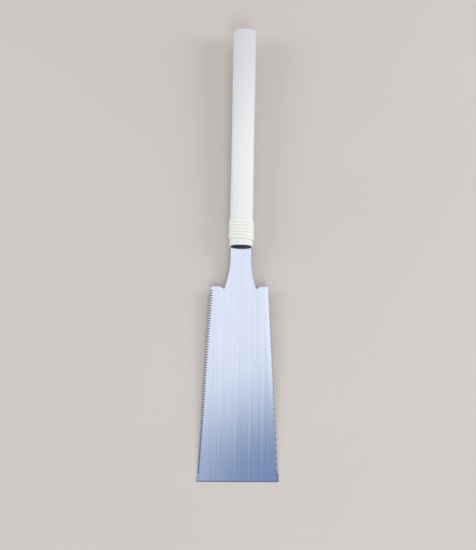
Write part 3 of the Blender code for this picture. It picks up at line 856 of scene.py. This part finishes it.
def carved(blank, tools, name, smooth_angle):
    """The blank with every tool cut out of it, as a new mesh."""
    body = as_object(blank, name + "_blank")
    cutters = [as_object(tool, name + "_tool_%d" % i) for i, tool in enumerate(tools)]
    for cutter in cutters:
        cut = body.modifiers.new("cut", "BOOLEAN")
        cut.operation = "DIFFERENCE"
        cut.solver = "EXACT"
        cut.object = cutter
    bpy.context.view_layer.update()
    graph = bpy.context.evaluated_depsgraph_get()
    mesh = bpy.data.meshes.new_from_object(body.evaluated_get(graph))
    mesh.name = name
    for obj in [body] + cutters:
        bpy.data.objects.remove(obj, do_unlink=True)
    # Slivers along the cuts are turned into whole triangles.
    bm = bmesh.new()
    bm.from_mesh(mesh)
    bmesh.ops.triangulate(bm, faces=[f for f in bm.faces if len(f.verts) > 4])
    for face in [f for f in bm.faces if f.calc_area() < 1e-10]:
        if face.is_valid:
            bmesh.utils.edge_rotate(max(face.edges, key=lambda edge: edge.calc_length()))
    bm.to_mesh(mesh)
    bm.free()
    mesh.shade_smooth()
    mesh.set_sharp_from_angle(angle=math.radians(smooth_angle))
    return mesh


pocket_start = MOUTH_Y + HOLDER_START - GAP
pocket_end = MOUTH_Y + HOLDER_END + GAP
pocket_half = CHEEK_HALF + GAP
front_room = HALF_T + GAP + CHEEK_THICKNESS + GAP + RIVET_HEAD + GAP
back_room = HALF_T + BACK_ROOM + CHEEK_THICKNESS + GAP + RIVET_HEAD + GAP

for side, tag, mat, room in ((1, "front", WOOD_FRONT, front_room), (-1, "back", WOOD_BACK, back_room)):
    low, high = sorted((-side * 2 * MM, side * room))
    pocket = box((-pocket_half, pocket_start, low), (pocket_half, pocket_end, high))
    low, high = sorted((-side * 2 * MM, side * (HALF_T + GAP)))
    throat = box((-SPACER_INNER, MOUTH_Y + 2 * MM, low), (SPACER_INNER, pocket_start + 2 * MM, high))
    section = insert_section(0.08 * MM)
    loop = [(section[0][0], -2 * MM)] + section + [(section[-1][0], -2 * MM)]
    seat = prism([(x, side * z) for x, z in loop], MOUTH_Y - 3 * MM, MOUTH_Y + INSERT_RECESS + INSERT_DEPTH + GAP)
    mesh = carved(half_blank(side), [pocket, throat, seat], "handle_wood_" + tag, 32)
    piece("handle_wood_" + tag, mesh, "handle", ["handle_%s_half" % tag], [mat])

    solid = prism([(x, side * z) for x, z in insert_section(0.0)], MOUTH_Y + INSERT_RECESS, MOUTH_Y + INSERT_RECESS + INSERT_DEPTH)
    rim_edges = [e for e in solid.edges if all(v.co.y < MOUTH_Y + INSERT_RECESS + 1e-6 for v in e.verts)]
    bmesh.ops.bevel(solid, geom=rim_edges, offset=0.3 * MM, segments=3, profile=0.5, affect="EDGES")
    mesh = bpy.data.meshes.new("mouth_moulding_" + tag)
    solid.to_mesh(mesh)
    solid.free()
    mesh.shade_smooth()
    mesh.set_sharp_from_angle(angle=math.radians(32))
    piece("mouth_moulding_" + tag, mesh, "handle", ["mouth_insert_" + tag], [DARK])


# ---------------------------------------------------------------- binding

def oval_frame(angle, y):
    """Point on the handle's surface and its outward direction there, in the section plane."""
    scale = handle_width(y) / HANDLE_HALF_WIDTH
    a, b = HANDLE_HALF_WIDTH * scale, HANDLE_HALF_DEPTH * scale
    x, z = oval(a, b, angle)
    nx = math.copysign(abs(x / a) ** (SECTION_POWER - 1) / a, x)
    nz = math.copysign(abs(z / b) ** (SECTION_POWER - 1) / b, z)
    size = math.hypot(nx, nz)
    return x, z, nx / size, nz / size


STRIP = [
    (-0.46, 0.04), (-0.2, 0.0), (0.2, 0.0), (0.46, 0.04),
    (0.5, 0.22), (0.5, 0.60), (0.483, 0.78), (0.435, 0.89), (0.30, 0.96), (0.10, 0.995),
    (-0.10, 0.995), (-0.30, 0.96), (-0.435, 0.89), (-0.483, 0.78), (-0.5, 0.60), (-0.5, 0.22),
]


def build_binding():
    """One cane strip wound round the mouth end, its ends thinned at the back."""
    bm = bmesh.new()
    layer = bm.loops.layers.uv.new("strip")
    steps = BIND_TURNS * BIND_STEPS
    rings, along = [], []
    length, last = 0.0, None
    for i in range(steps + 1):
        turn = i / BIND_STEPS
        angle = math.radians(-90) + 2 * math.pi * turn
        wobble = noise.noise(Vector((math.cos(angle) * 1.3, math.sin(angle) * 1.3, 4.2)))
        own = noise.noise(Vector((turn * 2.7, 8.1, 0.4)))
        y = BIND_START + BIND_PITCH * turn - BIND_LEAN * math.cos(angle) + 0.10 * MM * wobble + 0.02 * MM * own
        tail = min(i, steps - i) / (BIND_STEPS * 0.05)
        taper = min(1.0, tail) ** 0.7
        width = BIND_WIDTH * (0.6 + 0.4 * taper) * (1 + 0.008 * noise.noise(Vector((turn * 1.9, 2.2, 7.7))))
        thick = BIND_THICKNESS * (0.35 + 0.65 * taper) * (1 + 0.03 * noise.noise(Vector((turn * 2.3, 5.5, 1.1))))
        x, z, nx, nz = oval_frame(angle, y)
        ring = []
        for k, (w, n) in enumerate(STRIP):
            rib = 1 + (0.012 * noise.noise(Vector((k * 0.9, turn * 0.8, 3.3))) if n > 0.8 else 0.0)
            lift = BIND_LIFT + n * thick * rib
            ring.append(bm.verts.new((x + nx * lift, y + w * width, z + nz * lift)))
        rings.append(ring)
        here = Vector((x, y, z))
        length += (here - last).length if last else 0.0
        last = here
        along.append(length / (20 * MM))
    size = len(STRIP)
    for i in range(steps):
        for k in range(size):
            j = (k + 1) % size
            made = bm.faces.new((rings[i][k], rings[i + 1][k], rings[i + 1][j], rings[i][j]))
            for loop, (u, point) in zip(made.loops, ((along[i], k), (along[i + 1], k), (along[i + 1], j), (along[i], j))):
                loop[layer].uv = (u, STRIP[point][0] + 0.5)
    for ring, u in ((rings[0], along[0]), (rings[-1], along[-1])):
        made = bm.faces.new(ring)
        for loop in made.loops:
            loop[layer].uv = (u, 0.98)
    bmesh.ops.recalc_face_normals(bm, faces=bm.faces)
    mesh = bpy.data.meshes.new("cane_binding")
    bm.to_mesh(mesh)
    bm.free()
    mesh.shade_smooth()
    mesh.set_sharp_from_angle(angle=math.radians(50))
    return mesh


piece("cane_binding", build_binding(), "handle", ["binding"], [CANE])


# ---------------------------------------------------------------- holder inside the handle

SHEET = plain_steel("rolled_sheet", (0.37, 0.38, 0.40), (0.53, 0.54, 0.55), (1400, 40, 1400), 0.38, 0.54)
STRIPS = plain_steel("sheared_strip", (0.31, 0.32, 0.34), (0.47, 0.48, 0.49), (900, 60, 2600), 0.42, 0.58)
TURNED = plain_steel("turned_rivet", (0.50, 0.485, 0.46), (0.70, 0.68, 0.65), (2200, 2200, 160), 0.28, 0.44)
GROUND = plain_steel("ground_pin", (0.46, 0.47, 0.49), (0.64, 0.65, 0.67), (2600, 2600, 120), 0.22, 0.36)
SPRING = plain_steel("tempered_spring", (0.13, 0.16, 0.26), (0.30, 0.31, 0.36), (1600, 55, 1600), 0.24, 0.40)

for node, mat in (
    ("holder_front_cheek", SHEET),
    ("holder_back_cheek", SHEET),
    ("holder_left_spacer", STRIPS),
    ("holder_right_spacer", STRIPS),
    ("holder_rivet_1", TURNED),
    ("holder_rivet_2", TURNED),
    ("holder_rivet_3", TURNED),
    ("holder_rivet_4", TURNED),
    ("spring_rivet", TURNED),
    ("hook_pin", GROUND),
    ("leaf_spring", SPRING),
):
    frame["nodes"][node].data.materials.clear()
    frame["nodes"][node].data.materials.append(mat)


# ---------------------------------------------------------------- floor, light and camera

def pale_floor():
    g = Graph("pale_floor")
    at = g.coords()
    cloud = g.noise(at, 3.0, detail=4.0)
    speck = g.noise(at, 900.0, detail=2.0)
    g.set(Base_Color=g.ramp(g.total((0.7, cloud), (0.3, speck)), (0.3, (0.575, 0.526, 0.480)), (0.7, (0.600, 0.551, 0.505))))
    g.set(Roughness=0.9, Specular_IOR_Level=0.2)
    return g.mat


bm = bmesh.new()
bmesh.ops.create_grid(bm, x_segments=8, y_segments=8, size=4.0)
floor = as_object(bm, "floor")
floor.data.materials.append(pale_floor())

world = bpy.data.worlds.new("soft_studio")
world.use_nodes = True
scene.world = world


def light_dome():
    """Soft white dome. A dim bluish card hangs above the camera, so that the toe end of
    the plate mirrors the card and the heel end mirrors the white behind it."""
    g = Graph.__new__(Graph)
    g.tree = world.node_tree
    background = g.tree.nodes["Background"]
    x, y, z = g.split(g.coords("Generated"))
    lean = g.math("ADD", y, g.math("MULTIPLY", x, -0.283))
    edge = g.remap(lean, 0.024, 0.132, 1.0, 0.0, smooth=True)
    right = g.remap(x, 0.30, 0.55, 1.0, 0.0, smooth=True)
    left = g.remap(x, -0.093, -0.013, 0.0, 1.0, smooth=True)
    near = g.remap(y, -0.105, -0.02, 0.0, 1.0, smooth=True)
    card = g.math("MULTIPLY", g.math("MULTIPLY", edge, near), g.math("MULTIPLY", left, right))
    # The white behind the card is the brightest part, the rest of the dome is lower.
    glow = g.math("MULTIPLY", g.remap(y, 0.58, 0.38, 0.0, 1.0, smooth=True), g.remap(y, -0.10, 0.05, 0.0, 1.0, smooth=True))
    glow = g.math("MULTIPLY", glow, g.remap(g.math("ABSOLUTE", x), 0.65, 0.42, 0.0, 1.0, smooth=True))
    sides = g.remap(g.math("ABSOLUTE", x), 0.35, 0.80, 0.0, 1.0, smooth=True)
    dome = g.mix(sides, (0.40, 0.411, 0.433), (0.64, 0.652, 0.676))
    dome = g.mix(glow, dome, (1.08, 1.115, 1.205))
    colour = g.mix(card, dome, (0.200, 0.305, 0.530))
    g.feed(background.inputs["Color"], colour)
    background.inputs["Strength"].default_value = 1.0


light_dome()


def area_light(name, place, aim, size, power, colour):
    data = bpy.data.lights.new(name, "AREA")
    data.shape = "DISK"
    data.size = size
    data.energy = power
    data.color = colour
    obj = bpy.data.objects.new(name, data)
    scene.collection.objects.link(obj)
    obj.location = place
    obj.rotation_mode = "QUATERNION"
    obj.rotation_quaternion = (Vector(aim) - Vector(place)).to_track_quat("-Z", "Y")
    return obj


area_light("key_toe", (0.35, -1.35, 1.45), (0.0, 0.0, 0.0), 0.9, 11.2, (0.95, 0.972, 1.0))
area_light("key_butt", (0.25, 1.45, 1.45), (0.0, 0.0, 0.0), 0.9, 2.8, (0.95, 0.972, 1.0))
area_light("fill_right", (1.65, 0.25, 0.85), (0.0, 0.10, 0.0), 0.9, 13.2, (0.97, 0.985, 1.0))
area_light("fill_left", (-1.65, 0.25, 0.85), (0.0, 0.10, 0.0), 0.9, 9.8, (0.97, 0.985, 1.0))


# The camera of the photograph, fitted in the saw frame.
PITCH = math.radians(14.5)
ROLL = math.radians(1.0368)
right = Vector((math.cos(ROLL), math.sin(ROLL), 0))
ahead = Vector((-math.sin(ROLL), math.cos(ROLL), 0))
up = math.cos(PITCH) * ahead + math.sin(PITCH) * Vector((0, 0, 1))
back = math.cos(PITCH) * Vector((0, 0, 1)) - math.sin(PITCH) * ahead
view = Matrix((
    (right.x, up.x, back.x, 2.75 * MM),
    (right.y, up.y, back.y, -71.16 * MM),
    (right.z, up.z, back.z, 1274.7 * MM),
    (0, 0, 0, 1),
))
lens = bpy.data.cameras.new("camera")
lens.sensor_width = 36.0
lens.lens = 67.745
lens.clip_start = 0.05
lens.clip_end = 50.0
camera = bpy.data.objects.new("camera", lens)
scene.collection.objects.link(camera)
camera.matrix_world = SAW @ view
scene.camera = camera
scene.view_settings.view_transform = "Standard"
scene.view_settings.look = "None"
# The crosscut teeth are under three pixels apart, and smoothed guide passes would wipe them out.
scene.cycles.denoising_prefilter = "NONE"

bpy.context.view_layer.update()
